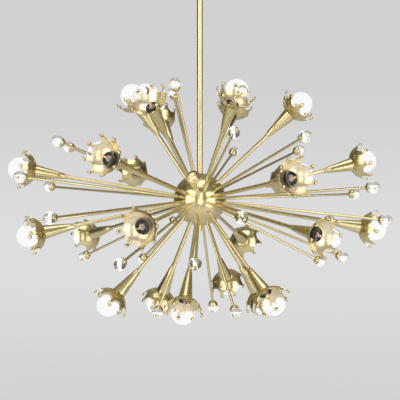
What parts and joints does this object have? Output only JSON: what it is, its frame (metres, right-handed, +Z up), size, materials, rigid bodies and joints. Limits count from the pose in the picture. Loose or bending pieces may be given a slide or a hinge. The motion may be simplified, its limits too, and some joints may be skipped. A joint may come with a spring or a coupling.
{
  "type": "sputnik chandelier",
  "caption": "Ball on a hanging stem with light arms and glass-tipped rods standing out all round; each arm ends in a scalloped cup round a globe bulb, hung from a ceiling canopy by a swivel.",
  "frame": {"origin": "middle of the ceiling crossbar's top face, on the stem's axis, where it meets the ceiling", "axes": "+Z up along the stem out of the crossbar, -Y towards the front of the picture, +X to its right"},
  "size_m": [0.832, 0.8634, 1.0189],
  "materials": {
    "satin_brass": "satin, lacquered",
    "cup_brass": "satin outside, polished inside",
    "zinc_steel": "zinc plated",
    "socket_black": "matt",
    "bulb_glass": "clear, thin",
    "bulb_cap": "bright",
    "filament": "bright wire on a glass mount",
    "ball_glass": "clear, solid"
  },
  "bodies": {
    "ceiling_mount": {"ceiling_crossbar": "zinc_steel", "ground_screw": "zinc_steel", "mount_nipple": "zinc_steel", "nipple_nut": "zinc_steel", "canopy": "satin_brass", "canopy_collar": "satin_brass", "swivel_yoke_upper": "satin_brass", "swivel_pins_upper": "zinc_steel"},
    "swivel_link": {"swivel_link": "satin_brass"},
    "chandelier": {"swivel_yoke_lower": "satin_brass", "swivel_pins_lower": "zinc_steel", "stem_upper": "satin_brass", "stem_lower": "satin_brass", "stem_coupling": "zinc_steel", "ball_upper_half": "satin_brass", "ball_lower_half": "satin_brass", "centre_tube": "zinc_steel", "centre_nut": "zinc_steel", "bottom_coupler": "zinc_steel", "bottom_finial": "satin_brass", "upper_long_arm_tubes": "satin_brass", "upper_long_cones": "satin_brass", "upper_long_cups": "cup_brass", "upper_long_sockets": "socket_black", "upper_long_bulb_globes": "bulb_glass", "upper_short_arm_tubes": "satin_brass", "upper_short_cones": "satin_brass", "upper_short_cups": "cup_brass", "upper_short_sockets": "socket_black", "upper_short_bulb_globes": "bulb_glass", "lower_long_arm_tubes": "satin_brass", "lower_long_cones": "satin_brass", "lower_long_cups": "cup_brass", "lower_long_sockets": "socket_black", "lower_long_bulb_globes": "bulb_glass", "lower_short_arm_tubes": "satin_brass", "lower_short_cones": "satin_brass", "lower_short_cups": "cup_brass", "lower_short_sockets": "socket_black", "lower_short_bulb_globes": "bulb_glass", "socket_rings": "socket_black", "bulb_screw_caps": "bulb_cap", "bulb_filaments": "filament", "light_arm_nuts": "zinc_steel", "upper_level_rods": "satin_brass", "upper_level_glass_balls": "ball_glass", "lower_level_rods": "satin_brass", "lower_level_glass_balls": "ball_glass", "upper_slant_rods": "satin_brass", "upper_slant_glass_balls": "ball_glass", "lower_slant_rods": "satin_brass", "lower_slant_glass_balls": "ball_glass", "upper_steep_rods": "satin_brass", "upper_steep_glass_balls": "ball_glass", "lower_steep_rods": "satin_brass", "lower_steep_glass_balls": "ball_glass", "glass_ball_dishes": "satin_brass", "rod_nuts": "zinc_steel"}
  },
  "joints": [
    {"name": "swivel_side_tilt", "type": "hinge", "parent": "ceiling_mount", "child": "swivel_link", "pos_m": [0, 0, -0.0505], "axis": [0, 1, 0], "range_deg": [-25, 25]},
    {"name": "swivel_front_tilt", "type": "hinge", "parent": "swivel_link", "child": "chandelier", "pos_m": [0, 0, -0.0685], "axis": [1, 0, 0], "range_deg": [-25, 25]}
  ]
}
